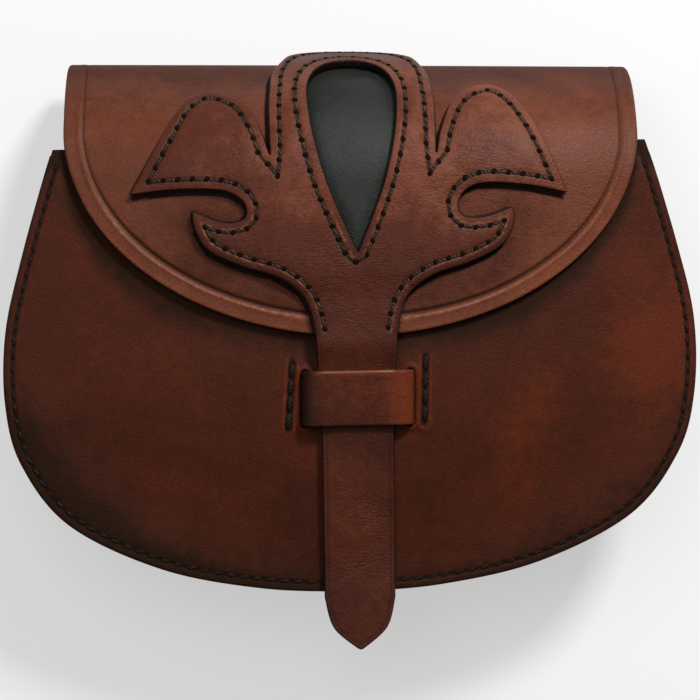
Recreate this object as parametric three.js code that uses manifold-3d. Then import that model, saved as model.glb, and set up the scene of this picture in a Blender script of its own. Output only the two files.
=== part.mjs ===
// Leather belt bag with a moulded front, a U-shaped gusset, a flap in one piece with the back, a cut-out
// ornament that runs down into the closing tongue, a keeper for the tongue, and two belt loops.
// Millimetres. The bag lies on its back: +X across, +Y from its bottom to its top, +Z out of its front.
import * as THREE from 'three';
import Module from 'manifold-3d';
import { mergeVertices } from 'three/addons/utils/BufferGeometryUtils.js';

const wasm = await Module();
wasm.setup();
const { lerp, clamp, degToRad } = THREE.MathUtils;

// ---- Driving dimensions ----------------------------------------------------------------------------

const GAP = 0.3;                    // clearance between two pieces that are sewn together
const LEATHER = { panel: 2.6, flap: 2.8, gusset: 2.0, ornament: 3.0, inlay: 1.2, keeper: 2.4, loop: 3.0 };

// Front panel, gusset and back, right half from the mouth's corner down to the middle of the bottom.
const BODY_OUTLINE = [
  { x: 101.5, y: 68.7 }, { x: 111.4, y: 34 }, { x: 117.1, y: 8 }, { x: 117.1, y: -17 }, { x: 111.4, y: -37.4 },
  { x: 95.2, y: -57.8 }, { x: 63.9, y: -73.1 }, { x: 30, y: -80.2 }, { x: 0, y: -82 },
];
const BELT_ROOM = 5.5;              // between a belt loop and the back
const BACK_Z = LEATHER.loop + BELT_ROOM;
const BACK_FACE_Z = BACK_Z + LEATHER.flap + GAP;
const SEAM_Z = BACK_Z + 47.3;       // outer face of the front panel along its seam
const MOUTH_Y = 68.7;
const DOME = { height: 8.8, rim: 7, low: 76, power: 3 };

const FLAP = {
  half: 97.8,                       // half width over the shoulder
  clearance: 0.6,                   // between flap and front panel
  widest: 75.8,                     // above this line the sides run straight
  drop: 71.3,                       // half ellipse below it
  shoulder: 56,                     // where the flap and the panel under it turn over towards the back
  crestY: 100.2,
  crestZ: BACK_Z + 8.5,
  turnY: 12,                        // depth of the turn from the crest down to the back
};

// Ornament and tongue in one piece, cut flat: right half, x from the axis and y up from the bag's middle
// along the leather, which bends over the shoulder.
const ORNAMENT = {
  lean: degToRad(1.05),
  leanCentre: 72,
  arch: { half: 27.2, base: 93.3, rise: 30.7 },
  column: [[27.2, 93.3], [27.9, 82.1], [27.7, 64.8]],
  wing: [[27.7, 64.8], [29, 71.9], [34.2, 84], [45.7, 92.3], [53.6, 88.2], [60.8, 77.8], [68.9, 61.1], [73.5, 52.9]],
  hook: [[73.5, 52.9], [66.1, 54.3], [57.5, 54.8], [44.6, 54.8], [37.2, 51.6], [35.6, 46.8], [38.2, 43.8],
    [42.8, 43.5], [47.5, 44.7], [53.8, 47.2]],
  lobe: [[53.8, 47.2], [53, 42.2], [48.6, 34.3], [38.3, 28.8], [25.7, 24.6], [17.3, 17.7], [14, 6.7], [13.2, -6.1]],
  tongue: [[13.2, -6.1], [12.1, -26.8], [12, -84]],
  point: [[12, -84], [9, -94.3], [0, -102.1]],
  pad: { half: 21.5, slopeX: 4.5, low: 27, slopeY: 9 },   // raised over the inlay
  settle: { from: 3.5, to: -8 },                          // from the flap's edge down to the front panel
};
const WINDOW = { half: 14.6, top: 104.7, widest: 86.1, tip: 33, shift: 0.9, seam: 5.5 };

const KEEPER = {
  x: 1.8,
  y: -16.2,
  width: 18.7,
  slitX: 17.8,                      // each slit's distance from the keeper's middle
  endX: 28,
  bendOver: 3.4,
  bendUnder: 1.8,
  clearance: 0.6,                   // over the tongue, which slides through
};
const LOOP = { x: 58, width: 32, low: -36, high: 66, tab: 13, slope: 8, bend: 5 };
// Wall and seam edge measured inwards from the body's outline; start is a share of the outline's length.
const GUSSET = { wall: 7.5, edge: -0.8, bend: 2.2, start: 0.012 };
// The pouch hangs a little askew under its level top, higher on the right: the slope, and where it fades out.
const ASKEW = { slope: 0.02, full: 20, none: 88 };

// Facets along and across the bent sheets.
const TURN_STEPS = 4;
const SHOULDER_STEPS = 9;
const FLAP_STEPS = 10;
const FLAP_COLUMNS = 12;
const PANEL_COLUMNS = 18;
const BODY_STEPS = 19;
const GUSSET_STEPS = 22;

// ---- Small helpers ---------------------------------------------------------------------------------

const ramp = (value, from, to) => clamp((value - from) / (to - from), 0, 1);
const steps = (count) => Array.from({ length: count + 1 }, (_, i) => i / count);

/** Points of a smooth curve through the given [x, y] pairs. */
function curvePoints(pairs, count) {
  return new THREE.SplineCurve(pairs.map(([x, y]) => new THREE.Vector2(x, y))).getPoints(count);
}

/** A table read at a value of its first column, straight between rows. */
function readTable(table, value) {
  const inside = clamp(value, table[0][0], table.at(-1)[0]);
  const next = Math.max(1, table.findIndex(([key]) => key >= inside));
  const [[x0, y0], [x1, y1]] = [table[next - 1], table[next]];
  return lerp(y0, y1, (inside - x0) / (x1 - x0));
}

/** The closed outline of a strip of leather of the given thickness along an open line. */
function strip(line, thickness) {
  const side = (sign) => line.map((point, i) => {
    const before = line[Math.max(0, i - 1)];
    const after = line[Math.min(line.length - 1, i + 1)];
    const along = after.clone().sub(before).normalize();
    const half = sign * thickness / 2;
    return new THREE.Vector2(point.x - along.y * half, point.y + along.x * half);
  });
  return [...side(-1), ...side(1).reverse()];
}

/** A line through [x, y, radius] corners, each rounded by an arc of its radius. */
function rounded(corners, arcSteps = 4) {
  const places = corners.map(([x, y]) => new THREE.Vector2(x, y));
  const line = [places[0]];
  for (let i = 1; i < corners.length - 1; i += 1) {
    const corner = places[i];
    const radius = corners[i][2];
    const back = places[i - 1].clone().sub(corner).normalize();
    const on = places[i + 1].clone().sub(corner).normalize();
    const half = back.angleTo(on) / 2;
    const start = corner.clone().addScaledVector(back, radius / Math.tan(half));
    const middle = back.clone().add(on).normalize();
    const centre = corner.clone().addScaledVector(middle, radius / Math.sin(half));
    const turn = (2 * half - Math.PI) * Math.sign(back.cross(on));
    for (const t of steps(arcSteps)) {
      line.push(start.clone().rotateAround(centre, t * turn));
    }
  }
  return [...line, places.at(-1)];
}

/** A closed geometry from points and triangles, with its shared vertices merged. */
function closedGeometry(points, triangles) {
  const geometry = new THREE.BufferGeometry();
  geometry.setAttribute('position', new THREE.Float32BufferAttribute(points.flat(), 3));
  geometry.setIndex(triangles.flat());
  return mergeVertices(geometry, 1e-4);
}

function toManifold(geometry) {
  const bare = geometry.clone();
  bare.deleteAttribute('normal');
  bare.deleteAttribute('uv');
  const merged = mergeVertices(bare, 1e-4);
  return new wasm.Manifold(new wasm.Mesh({
    numProp: 3,
    vertProperties: merged.attributes.position.array,
    triVerts: new Uint32Array(merged.index.array),
  }));
}

function fromManifold(solid) {
  const { vertProperties, triVerts } = solid.getMesh();
  const geometry = new THREE.BufferGeometry();
  geometry.setAttribute('position', new THREE.BufferAttribute(vertProperties, 3));
  geometry.setIndex(new THREE.BufferAttribute(triVerts, 1));
  return geometry;
}

// ---- The surfaces that the leather follows -----------------------------------------------------------

const bodyCurve = new THREE.SplineCurve(BODY_OUTLINE.map(({ x, y }) => new THREE.Vector2(x, y)));
const bodyHalfWidths = bodyCurve.getPoints(80).map(({ x, y }) => [y, x]).reverse();
const bodyHalf = (y) => readTable(bodyHalfWidths, y);

/** How far the moulded front stands above its seam. */
function dome(x, y) {
  const across = x / (bodyHalf(Math.max(y, 0)) - DOME.rim);
  const down = Math.min(y, 0) / DOME.low;
  const reach = Math.min(1, Math.hypot(across, down));
  return DOME.height * (1 - reach ** DOME.power) ** 2;
}

// Above the shoulder line the front falls back over a quarter ellipse that ends at the crest.
const flapTop = FLAP.clearance + LEATHER.flap;
const shoulderReach = FLAP.crestY - flapTop - FLAP.shoulder;
const tilt = (y) => Math.max(0, y - FLAP.shoulder) / shoulderReach;
const fallBack = (y, z) => FLAP.crestZ + (z - FLAP.crestZ) * Math.sqrt(1 - tilt(y) ** 2);

const frontSurface = (x, y) => new THREE.Vector3(x, y, fallBack(y, SEAM_Z + dome(x, y)));

// The flap's own route, measured along the leather on the bag's middle line.
const middleRise = SEAM_Z + dome(0, FLAP.shoulder) + flapTop - FLAP.crestZ;
const shoulderCurve = new THREE.EllipseCurve(FLAP.shoulder, FLAP.crestZ,
  FLAP.crestY - FLAP.shoulder, middleRise, Math.PI / 2, 0, true);
shoulderCurve.arcLengthDivisions = 20 * SHOULDER_STEPS;
const shoulderLength = shoulderCurve.getLength();
const turnCurve = new THREE.EllipseCurve(FLAP.crestY - FLAP.turnY, FLAP.crestZ,
  FLAP.turnY, FLAP.crestZ - BACK_Z, 0, -Math.PI / 2, true);
const turnLength = turnCurve.getLength();
const shoulderLines = steps(SHOULDER_STEPS)
  .map((t) => FLAP.shoulder + shoulderCurve.getLengths()[Math.round(t * shoulderCurve.arcLengthDivisions)]);
const crestAt = FLAP.shoulder + shoulderLength;
const backAt = crestAt + turnLength;
const backLine = (y) => backAt + FLAP.crestY - FLAP.turnY - y;

/** How far round a quarter ellipse a share of its length reaches. */
const angleAt = (quarter, share) => quarter.getUtoTmapping(clamp(share, 0, 1)) * Math.PI / 2;

/** Point under the flap's leather, x across and along from the bag's middle, up and over to the back. */
function flapRoute(x, along) {
  if (along <= FLAP.shoulder) {
    return frontSurface(x, along);
  }
  if (along <= crestAt) {
    const angle = angleAt(shoulderCurve, (along - FLAP.shoulder) / shoulderLength);
    const rise = frontSurface(x, FLAP.shoulder).z - FLAP.crestZ;
    return new THREE.Vector3(x, FLAP.shoulder + shoulderReach * Math.sin(angle),
      FLAP.crestZ + rise * Math.cos(angle));
  }
  const turnDepth = FLAP.crestZ - BACK_Z - flapTop;
  if (along <= backAt) {
    const angle = angleAt(turnCurve, (along - crestAt) / turnLength);
    const reach = FLAP.turnY - flapTop;
    return new THREE.Vector3(x, FLAP.crestY - FLAP.turnY + reach * Math.cos(angle),
      FLAP.crestZ - turnDepth * Math.sin(angle));
  }
  return new THREE.Vector3(x, FLAP.crestY - FLAP.turnY - (along - backAt), FLAP.crestZ - turnDepth);
}

/** The point above a surface, square to it. */
function above(surface, x, along, height) {
  const step = 0.05;
  const acrossStep = surface(x + step, along).sub(surface(x - step, along));
  const alongStep = surface(x, along + step).sub(surface(x, along - step));
  return surface(x, along).addScaledVector(acrossStep.cross(alongStep).normalize(), height);
}

// ---- Ways of making a piece --------------------------------------------------------------------------

/** Closed sheet from rows across, between two heights above a surface. */
function sheet(rows, columns, surface, low, high) {
  const points = [];
  for (const height of [low, high]) {
    for (const { along, half } of rows) {
      for (const t of steps(columns)) {
        points.push(above(surface, lerp(-half, half, t), along, height).toArray());
      }
    }
  }
  const width = columns + 1;
  const layer = rows.length * width;
  const triangles = [];
  const quad = (a, b, c, d) => triangles.push([a, b, c], [a, c, d]);
  for (let row = 0; row < rows.length - 1; row += 1) {
    for (let column = 0; column < columns; column += 1) {
      const at = row * width + column;
      quad(at, at + width, at + width + 1, at + 1);
      quad(layer + at, layer + at + 1, layer + at + width + 1, layer + at + width);
    }
    const left = row * width;
    const right = left + columns;
    quad(left, layer + left, layer + left + width, left + width);
    quad(right, right + width, layer + right + width, layer + right);
  }
  const last = (rows.length - 1) * width;
  for (let column = 0; column < columns; column += 1) {
    quad(column, column + 1, layer + column + 1, layer + column);
    quad(last + column, layer + last + column, layer + last + column + 1, last + column + 1);
  }
  return closedGeometry(points, triangles);
}

/** Splits every triangle that crosses the line where one coordinate has the given value. */
function cutAlong(triangles, axis, value) {
  const side = (point) => (Math.abs(point[axis] - value) < 1e-3 ? 0 : Math.sign(point[axis] - value));
  const meet = (p, q) => {
    const [low, high] = p[axis] < q[axis] ? [p, q] : [q, p];
    const t = (value - low[axis]) / (high[axis] - low[axis]);
    return low.map((coordinate, i) => (i === axis ? value : lerp(coordinate, high[i], t)));
  };
  return triangles.flatMap((triangle) => {
    const sides = triangle.map(side);
    if (!sides.includes(1) || !sides.includes(-1)) {
      return [triangle];
    }
    if (sides.includes(0)) {
      const on = sides.indexOf(0);
      const [a, b, c] = [0, 1, 2].map((i) => triangle[(on + i) % 3]);
      const cut = meet(b, c);
      return [[a, b, cut], [a, cut, c]];
    }
    const sum = sides[0] + sides[1] + sides[2];
    const alone = sides.indexOf(-Math.sign(sum));
    const [a, b, c] = [0, 1, 2].map((i) => triangle[(alone + i) % 3]);
    const [ab, ac] = [meet(a, b), meet(a, c)];
    return [[a, ab, ac], [ab, b, c], [ab, c, ac]];
  });
}

/** A flat pattern of the given thickness, cut along its bending lines and put in place point by point. */
function bentPattern(shape, thickness, bends, place) {
  const flat = new THREE.ExtrudeGeometry(shape, { depth: thickness, bevelEnabled: false });
  const { position } = flat.attributes;
  let triangles = [];
  for (let i = 0; i < position.count; i += 3) {
    triangles.push([0, 1, 2].map((k) => [position.getX(i + k), position.getY(i + k), position.getZ(i + k)]));
  }
  for (const x of bends.x) {
    triangles = cutAlong(triangles, 0, x);
  }
  for (const y of bends.y) {
    triangles = cutAlong(triangles, 1, y);
  }
  const points = triangles.flat().map((point) => place(...point).toArray());
  const order = points.map((_, i) => i);
  const geometry = closedGeometry(points, order);
  const index = [...geometry.index.array];
  const kept = [];
  for (let i = 0; i < index.length; i += 3) {
    const [a, b, c] = index.slice(i, i + 3);
    if (a !== b && b !== c && a !== c) {
      kept.push(a, b, c);
    }
  }
  geometry.setIndex(kept);
  return geometry;
}

/** A section of [inward, z] points carried along a line of places with their inward directions. */
function sweep(section, stations) {
  const points = [];
  for (const { at, inward } of stations) {
    for (const { x, y } of section) {
      points.push([at.x + inward.x * x, at.y + inward.y * x, y]);
    }
  }
  const size = section.length;
  const triangles = [];
  for (let i = 0; i < stations.length - 1; i += 1) {
    for (let k = 0; k < size; k += 1) {
      const [a, b] = [i * size + k, i * size + (k + 1) % size];
      triangles.push([a, b, b + size], [a, b + size, a + size]);
    }
  }
  const cap = THREE.ShapeUtils.triangulateShape(section, []);
  const last = (stations.length - 1) * size;
  for (const [a, b, c] of cap) {
    triangles.push([a, c, b], [last + a, last + b, last + c]);
  }
  return closedGeometry(points, triangles);
}

// ---- The pieces ---------------------------------------------------------------------------------------

/** Rows down the body from its mouth to its bottom, evenly spaced along the outline. */
function bodyRows(top) {
  const rows = bodyCurve.getSpacedPoints(BODY_STEPS).slice(0, -1).map(({ x, y }) => ({ y, half: x }));
  return rows.filter(({ y }) => y <= top);
}

function frontPanel() {
  const rows = bodyRows(MOUTH_Y).reverse().map(({ y, half }) => ({ along: y, half }));
  const panel = toManifold(sheet(rows, PANEL_COLUMNS, frontSurface, -LEATHER.panel, 0));
  const slitSize = [LEATHER.keeper + 2 * GAP, KEEPER.width + 2 * GAP, 30];
  const slits = [-1, 1].map((sign) => {
    const slit = new THREE.BoxGeometry(...slitSize);
    slit.translate(KEEPER.x + sign * KEEPER.slitX, KEEPER.y, SEAM_Z + DOME.height);
    return toManifold(slit);
  });
  return fromManifold(panel.subtract(slits[0]).subtract(slits[1]));
}

/** The pouch's slope, given to every point lower than a height; it leaves the flap level. */
function hangAskew(geometry, below = Infinity) {
  const { position } = geometry.attributes;
  for (let i = 0; i < position.count; i += 1) {
    if (position.getZ(i) < below) {
      const share = ramp(position.getY(i), ASKEW.none, ASKEW.full);
      position.setY(i, position.getY(i) + ASKEW.slope * share * position.getX(i));
    }
  }
  return geometry;
}

/** U-shaped side wall with a seam turned outwards along each panel. */
function gusset() {
  const half = LEATHER.gusset / 2;
  const backZ = BACK_FACE_Z + half;
  const frontZ = SEAM_Z - LEATHER.panel - GAP - half;
  const { edge, wall, bend } = GUSSET;
  const line = rounded([[edge, backZ], [wall, backZ, bend], [wall, frontZ, bend], [edge, frontZ]], 2);
  const right = steps(GUSSET_STEPS).map((t) => {
    const along = lerp(GUSSET.start, 1, t);
    const tangent = bodyCurve.getTangentAt(along);
    return { at: bodyCurve.getPointAt(along), inward: new THREE.Vector2(tangent.y, -tangent.x) };
  });
  right.at(-1).inward.set(0, 1);
  const left = right.slice(0, -1).reverse().map(({ at, inward }) => ({
    at: new THREE.Vector2(-at.x, at.y),
    inward: new THREE.Vector2(-inward.x, inward.y),
  }));
  const geometry = sweep(strip(line, LEATHER.gusset), [...right, ...left].reverse());
  const { position } = geometry.attributes;
  for (let i = 0; i < position.count; i += 1) {
    const y = position.getY(i);
    const fall = SEAM_Z - fallBack(y + LEATHER.panel * tilt(y), SEAM_Z);
    position.setZ(i, position.getZ(i) - fall * ramp(position.getZ(i), BACK_FACE_Z, frontZ - half));
  }
  return geometry;
}

/** Half width of the flap: a half ellipse below its widest line, straight sides above it. */
function flapHalf(along) {
  const down = Math.max(0, FLAP.widest - along) / FLAP.drop;
  return FLAP.half * Math.sqrt(1 - down * down);
}

/** Back, turn over the top, and flap: one sheet from the back's bottom to the flap's edge. */
function backAndFlap() {
  const front = steps(FLAP_STEPS).slice(1)
    .map((t) => FLAP.widest - FLAP.drop * Math.cos(t * Math.PI / 2))
    .filter((along) => along < FLAP.shoulder - 2);
  const turn = steps(TURN_STEPS).slice(1).map((t) => crestAt + t * turnLength);
  const flap = [...front, ...shoulderLines, ...turn].map((along) => ({ along, half: flapHalf(along) }));
  const back = [{ along: backLine(MOUTH_Y + 8), half: FLAP.half },
    ...bodyRows(MOUTH_Y).map(({ y, half }) => ({ along: backLine(y), half }))];
  return sheet([...flap, ...back], FLAP_COLUMNS, flapRoute, FLAP.clearance, flapTop);
}

/** The ornament's axis leans: a point of its pattern, turned by that. */
const lean = (point) => point.clone().rotateAround(new THREE.Vector2(0, ORNAMENT.leanCentre), ORNAMENT.lean);

/** Half width of the drop-shaped window, or of the same shape grown by a margin. */
function windowHalf(y, margin = 0) {
  const half = WINDOW.half + margin;
  if (y >= WINDOW.widest) {
    const up = (y - WINDOW.widest) / (WINDOW.top + margin - WINDOW.widest);
    return half * Math.sqrt(Math.max(0, 1 - up * up));
  }
  const down = (y - WINDOW.tip + margin) / (WINDOW.widest - WINDOW.tip + margin);
  return half * Math.sin(down * Math.PI / 2);
}

/** Outline of the window, or of the same shape grown by a margin. */
function windowOutline(count, margin = 0) {
  const [low, high] = [WINDOW.tip - margin, WINDOW.top + margin];
  const heights = steps(count).map((t) => lerp(low, high, (1 - Math.cos(t * Math.PI)) / 2));
  const side = (sign, ys) => ys.map((y) => new THREE.Vector2(WINDOW.shift + sign * windowHalf(y, margin), y));
  return [...side(1, heights.slice(0, -1)), ...side(-1, heights.slice(1).reverse())].map(lean);
}

function ornamentShape() {
  const { arch, column, wing, hook, lobe, tongue, point } = ORNAMENT;
  const archPoints = steps(6).map((t) => new THREE.Vector2(
    arch.half * Math.sin(t * Math.PI / 2), arch.base + arch.rise * Math.cos(t * Math.PI / 2)));
  const stretches = [archPoints, curvePoints(column, 2), curvePoints(wing, 11), curvePoints(hook, 13),
    curvePoints(lobe, 11), curvePoints(tongue, 2), curvePoints(point, 4)];
  const right = stretches.flatMap((points, i) => (i ? points.slice(1) : points));
  const left = right.slice(1, -1).reverse().map(({ x, y }) => new THREE.Vector2(-x, y));
  const shape = new THREE.Shape([...right, ...left].map(lean));
  shape.holes.push(new THREE.Path(windowOutline(12)));
  return shape;
}

/** How high the ornament's underside runs above the route of the flap. */
function ornamentBase(x, y) {
  const { pad, settle } = ORNAMENT;
  const onFlap = ramp(y, settle.to, settle.from);
  const padX = 1 - ramp(Math.abs(x), pad.half, pad.half + pad.slopeX);
  const padY = ramp(y, pad.low - pad.slopeY, pad.low);
  return GAP + onFlap * flapTop + padX * padY * (LEATHER.inlay + GAP);
}

function ornament() {
  const { pad, settle } = ORNAMENT;
  const column = 2 * FLAP.half / FLAP_COLUMNS;
  const across = [pad.half, pad.half + pad.slopeX, 2 * column, 3 * column, 4 * column];
  const bends = {
    x: [...across, ...across.map((x) => -x)],
    y: [-74, -56, -38, -24, settle.to, settle.from, pad.low - pad.slopeY, pad.low, 48, ...shoulderLines],
  };
  return bentPattern(ornamentShape(), LEATHER.ornament, bends,
    (x, y, height) => above(flapRoute, x, y, ornamentBase(x, y) + height));
}

/** Thin leather behind the window. */
function inlay() {
  const low = flapTop + GAP;
  return bentPattern(new THREE.Shape(windowOutline(12, WINDOW.seam)), LEATHER.inlay, { x: [], y: shoulderLines },
    (x, y, height) => above(flapRoute, x, y, low + height));
}

/** Band over the tongue: its ends pass down through the slits and lie flat behind the front panel. */
function keeper() {
  const half = LEATHER.keeper / 2;
  const overZ = GAP + LEATHER.ornament + KEEPER.clearance + half;
  const underZ = -LEATHER.panel - GAP - half;
  const { slitX, endX, bendOver, bendUnder } = KEEPER;
  const right = [[slitX, overZ, bendOver], [slitX, underZ, bendUnder], [endX, underZ]];
  const left = right.map(([x, ...rest]) => [-x, ...rest]).reverse();
  const shape = new THREE.Shape(strip(rounded([...left, ...right]), LEATHER.keeper));
  const place = (x, z, along) => {
    const at = new THREE.Vector3(KEEPER.x + x, KEEPER.y + KEEPER.width / 2 - along, 0);
    at.z = SEAM_Z + dome(at.x, at.y) + z;
    return at;
  };
  return bentPattern(shape, KEEPER.width, { x: [-8, 0, 8], y: [] }, place);
}

/** Belt loop: a strap sewn to the back at both ends, with room for a belt behind it. */
function beltLoop() {
  const half = LEATHER.loop / 2;
  const tabZ = BACK_Z - GAP - half;
  const { low, high, tab, slope, bend } = LOOP;
  const line = rounded([[low, tabZ], [low + tab, tabZ, bend], [low + tab + slope, half, bend],
    [high - tab - slope, half, bend], [high - tab, tabZ, bend], [high, tabZ]], 3);
  const geometry = new THREE.ExtrudeGeometry(new THREE.Shape(strip(line, LEATHER.loop)),
    { depth: LOOP.width, bevelEnabled: false });
  geometry.translate(0, 0, -LOOP.width / 2);
  geometry.rotateY(Math.PI / 2);
  geometry.rotateX(Math.PI / 2);
  return geometry;
}

// ---- The bag ------------------------------------------------------------------------------------------

const bag = new THREE.Group();

function addPiece(name, geometry, color, roughness) {
  const material = new THREE.MeshStandardMaterial({ color, roughness, metalness: 0 });
  const mesh = new THREE.Mesh(geometry, material);
  mesh.name = name;
  bag.add(mesh);
}

addPiece('front_panel', hangAskew(frontPanel()), 0x5a2a18, 0.5);
addPiece('gusset', hangAskew(gusset()), 0x4a2416, 0.6);
addPiece('back_and_flap', hangAskew(backAndFlap(), BACK_FACE_Z), 0x6b2f1a, 0.45);
addPiece('ornament_and_tongue', ornament(), 0x7a3820, 0.45);
addPiece('window_inlay', inlay(), 0x151515, 0.6);
addPiece('keeper', hangAskew(keeper()), 0x5f2c1a, 0.5);
for (const [side, sign] of [['left', -1], ['right', 1]]) {
  addPiece(`belt_loop_${side}`, hangAskew(beltLoop().translate(sign * LOOP.x, 0, 0)), 0x5a2a18, 0.55);
}

// The origin is under the middle of the whole bag, tongue's tip to crest.
const extent = new THREE.Box3().setFromObject(bag);
bag.position.y = -extent.getCenter(new THREE.Vector3()).y;

export default bag;
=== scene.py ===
import math

import bpy
import numpy as np
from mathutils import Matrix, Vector, noise
from mathutils.geometry import delaunay_2d_cdt


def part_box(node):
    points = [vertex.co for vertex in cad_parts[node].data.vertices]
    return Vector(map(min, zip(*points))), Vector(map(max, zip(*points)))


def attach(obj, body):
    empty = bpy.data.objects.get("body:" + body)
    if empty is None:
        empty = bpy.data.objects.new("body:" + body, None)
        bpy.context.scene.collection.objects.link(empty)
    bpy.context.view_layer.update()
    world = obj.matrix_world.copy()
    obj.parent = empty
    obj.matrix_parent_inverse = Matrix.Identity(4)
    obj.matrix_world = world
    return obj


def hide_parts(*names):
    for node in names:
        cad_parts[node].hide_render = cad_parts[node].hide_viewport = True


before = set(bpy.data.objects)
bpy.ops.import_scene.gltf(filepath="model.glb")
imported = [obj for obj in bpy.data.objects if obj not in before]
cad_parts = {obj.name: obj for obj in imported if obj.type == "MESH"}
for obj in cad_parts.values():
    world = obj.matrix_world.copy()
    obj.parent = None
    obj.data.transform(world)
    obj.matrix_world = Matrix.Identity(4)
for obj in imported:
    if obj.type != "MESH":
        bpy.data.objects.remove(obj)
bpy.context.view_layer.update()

MM = 0.001                      # patterns and sizes below are in millimetres

# ---- Sizes of the bag ---------------------------------------------------------------------------------

GAP = 0.3                       # between pieces that lie on each other
PANEL, FLAP, GUSSET, ORNAMENT, INLAY, KEEPER, LOOP = 2.6, 2.8, 2.0, 3.0, 1.2, 2.4, 3.0   # thicknesses
BACK_Z = 8.5                    # underside of the back, above the belt loops' tabs
SEAM_Z = 55.8                   # face of the front panel at its seam
MOUTH_Y = 68.7
POUCH_MIDDLE = 20
DOME_HEIGHT = 8.8
DOME_IN, DOME_DOWN = 7, 76      # the moulding ends this far inside the sides, and below y = 0

FLAP_HALF = 97.8
FLAP_CLEAR = 0.6                # between the front and the flap
FLAP_WIDEST = 75.8
FLAP_DROP = 71.3                # from the flap's widest place down to its lowest
SHOULDER_Y = 56.0
CREST_Y, CREST_Z, TURN_DEPTH = 100.2, BACK_Z + 8.5, 12.0
FLAP_TOP = FLAP_CLEAR + FLAP
CREASE = 7.0                    # from the flap's edge

LEAN = math.radians(1.05)       # of the ornament, to the left
LEAN_CENTRE = np.array([0, 72])
ARCH_HALF, ARCH_FOOT, ARCH_RISE = 27.2, 93.3, 30.7    # the ornament's round top
NOTCH = (27.7, 64.8)            # between the arch and a wing
TONGUE_CORNER = (12, -84)       # where the tongue's point begins
WINDOW_TIP, WINDOW_TOP = 33.0, 107.5
WINDOW_HALF, WINDOW_WIDEST = 15.0, 86.1
WINDOW_X, WINDOW_LEAN = 0.9, 1.2      # its middle at the tip, and how far its top leans left of that
INLAY_MARGIN = 5.5              # how far the inlay reaches under the ornament

SEAM_IN, BODY_SEAM_IN = 3.4, 2.9      # stitches from the ornament's edges, and from the pouch's
PITCH, BODY_PITCH, KEEPER_PITCH, TAB_PITCH = 4.9, 4.6, 5.4, 4.0     # from hole to hole
# AWL sizes the near-black lens painted over each stitch hole as its shade
AWL = (2.35, 1.5, 0.28)         # a hole's length and width, and how much higher than the thread it is set
ORNAMENT_SEAM_LOW = 6.5         # the ornament's seam ends above the tongue

KEEPER_AT = (1.8, -16.2)
KEEPER_WIDTH = 18.7
SLIT_X = 17.8
SLIT_ROOM = (0.3, 0.9)          # what a slit is wider and longer than the keeper's leather
KEEPER_END = 28.0               # where the keeper's ends stop behind the panel
KEEPER_SLACK = 0.6              # its room over the tongue

GUSSET_IN, GUSSET_OUT = 7.5, 0.5      # its wall stands inside the outline, its seam edges reach outside
GUSSET_BEND = 2.2

LOOP_X, LOOP_HALF = 58, 16      # a belt loop's middle and half its width
LOOP_LOW, LOOP_HIGH = -36, 66
TAB_SEAM_HALF = 12.5            # half the width of the seam on a loop's tab

ASKEW = 0.02                    # how much higher the pouch hangs on the right, for its width
ASKEW_TOP = 88                  # where that has faded out
BAG_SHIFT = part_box("back_and_flap")[1][1] / MM - CREST_Y     # the patterns' middle against the bag's


# ---- Lines and surfaces -------------------------------------------------------------------------------

def smooth_line(points, count):
    """Points of a smooth line through the given ones."""
    points = np.array(points, float)
    at = np.linspace(0, len(points) - 1, count + 1)
    index = np.minimum(at.astype(int), len(points) - 2)
    t = (at - index)[:, None]
    before, start, end, after = (points[np.clip(index + k, 0, len(points) - 1)] for k in (-1, 0, 1, 2))
    leave, arrive = (end - before) / 2, (after - start) / 2
    return ((2 * start - 2 * end + leave + arrive) * t ** 3
            + (3 * end - 3 * start - 2 * leave - arrive) * t ** 2 + leave * t + start)


def ramp(value, low, high):
    return np.clip((value - low) / (high - low), 0, 1)


def soft_ramp(value, low, high):
    t = ramp(value, low, high)
    return t * t * (3 - 2 * t)


def ridge(value, middle, width):
    """A rounded ridge, 1 high at its middle."""
    return np.exp(-((value - middle) / width) ** 2)


def spot(x, y, at, reach):
    """A soft round patch, 1 at its middle."""
    return np.exp(-((x - at[0]) / reach[0]) ** 2 - ((y - at[1]) / reach[1]) ** 2)


# the pouch's right edge, from the mouth down to its lowest place
BODY = smooth_line([(101.5, 68.7), (111.4, 34), (117.1, 8), (117.1, -17), (111.4, -37.4), (95.2, -57.8),
                    (63.9, -73.1), (30, -80.2), (0, -82)], 240)


def body_half(y):
    return np.interp(y, BODY[::-1, 1], BODY[::-1, 0])


def dome(x, y):
    """How far the moulded front stands above its seam."""
    reach = np.minimum(1, np.hypot(x / (body_half(np.maximum(y, 0)) - DOME_IN), np.minimum(y, 0) / DOME_DOWN))
    return DOME_HEIGHT * (1 - reach ** 3) ** 2


SHOULDER_REACH = CREST_Y - FLAP_TOP - SHOULDER_Y


def fall_back(y, z):
    """Above the shoulder line the front falls back over a quarter ellipse that ends at the crest."""
    over = np.clip((y - SHOULDER_Y) / SHOULDER_REACH, 0, 0.999)
    return CREST_Z + (z - CREST_Z) * np.sqrt(1 - over ** 2)


def front(x, y):
    return np.stack([x, y, fall_back(y, SEAM_Z + dome(x, y))], axis=1)


def quarter_lengths(across, up):
    """Angles round a quarter ellipse and the lengths along it."""
    angles = np.linspace(0, math.pi / 2, 361)
    pace = np.hypot(across * np.cos(angles), up * np.sin(angles))
    lengths = np.concatenate([[0], np.cumsum((pace[1:] + pace[:-1]) / 2 * np.diff(angles))])
    return angles, lengths


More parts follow.
